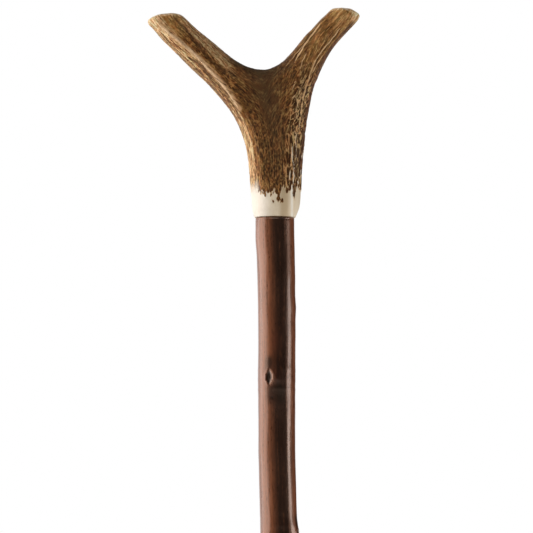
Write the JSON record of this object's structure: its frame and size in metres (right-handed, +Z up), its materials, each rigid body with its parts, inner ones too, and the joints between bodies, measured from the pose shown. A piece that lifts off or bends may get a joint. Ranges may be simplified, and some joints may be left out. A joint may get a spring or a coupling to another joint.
{
  "type": "staghorn thumb stick",
  "caption": "Walking stick with a forked antler thumb rest joined by a hidden stud to a tapered, bark-covered wooden shank that ends in a push-on rubber ferrule.",
  "frame": {"origin": "centre of the ferrule's tread, on the ground", "axes": "+Z up the stick, +X to the right across the fork as someone facing its flatter front sees it, with the longer arm to the left, and -Y towards that person"},
  "size_m": [0.1321, 0.035, 1.2202],
  "materials": {
    "antler": "red deer antler, brown and gnarled with paler ridges, rasped to a smooth cream band at its base and sanded at its sawn tips",
    "bark": "dark red-brown chestnut bark under gloss varnish, pale wood at the pared tip",
    "stud_steel": "zinc plated threaded stud",
    "ferrule_rubber": "matt black moulded rubber",
    "washer_steel": "plain bright steel"
  },
  "bodies": {
    "root": {"antler_fork": "antler", "joint_stud": "stud_steel", "shank": "bark", "rubber_ferrule": "ferrule_rubber", "ferrule_washer": "washer_steel"}
  },
  "joints": []
}
